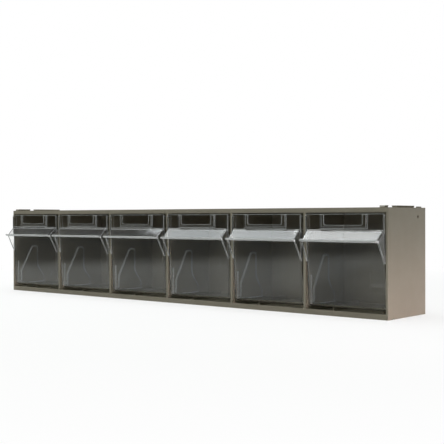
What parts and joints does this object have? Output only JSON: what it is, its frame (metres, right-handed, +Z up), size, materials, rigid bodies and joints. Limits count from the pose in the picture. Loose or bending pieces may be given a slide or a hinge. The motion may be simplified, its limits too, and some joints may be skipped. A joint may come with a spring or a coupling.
{
  "type": "tip-out bin",
  "caption": "Long low cabinet with a row of clear bins that tip forward on moulded stub shafts, each bin with a finger pull and a label pocket.",
  "frame": {"origin": "on the resting plane, under the middle of the cabinet", "axes": "+X along the row of bins, to the right for someone facing the bins; +Y from the open front to the back; +Z up"},
  "size_m": [0.6, 0.0965, 0.114],
  "materials": {
    "cabinet_plastic": "fine moulded texture, warm grey",
    "clear_plastic": "polished, clear"
  },
  "bodies": {
    "cabinet": {"cabinet": "cabinet_plastic"},
    "bin_1": {"bin_1": "clear_plastic"},
    "bin_2": {"bin_2": "clear_plastic"},
    "bin_3": {"bin_3": "clear_plastic"},
    "bin_4": {"bin_4": "clear_plastic"},
    "bin_5": {"bin_5": "clear_plastic"},
    "bin_6": {"bin_6": "clear_plastic"}
  },
  "joints": [
    {"name": "bin_1_tip", "type": "hinge", "parent": "cabinet", "child": "bin_1", "pos_m": [-0.25, -0.031, 0.0113], "axis": [1, 0, 0], "range_deg": [0, 40]},
    {"name": "bin_2_tip", "type": "hinge", "parent": "cabinet", "child": "bin_2", "pos_m": [-0.15, -0.031, 0.0113], "axis": [1, 0, 0], "range_deg": [0, 40]},
    {"name": "bin_3_tip", "type": "hinge", "parent": "cabinet", "child": "bin_3", "pos_m": [-0.05, -0.031, 0.0113], "axis": [1, 0, 0], "range_deg": [0, 40]},
    {"name": "bin_4_tip", "type": "hinge", "parent": "cabinet", "child": "bin_4", "pos_m": [0.05, -0.031, 0.0113], "axis": [1, 0, 0], "range_deg": [0, 40]},
    {"name": "bin_5_tip", "type": "hinge", "parent": "cabinet", "child": "bin_5", "pos_m": [0.15, -0.031, 0.0113], "axis": [1, 0, 0], "range_deg": [0, 40]},
    {"name": "bin_6_tip", "type": "hinge", "parent": "cabinet", "child": "bin_6", "pos_m": [0.25, -0.031, 0.0113], "axis": [1, 0, 0], "range_deg": [0, 40]}
  ]
}
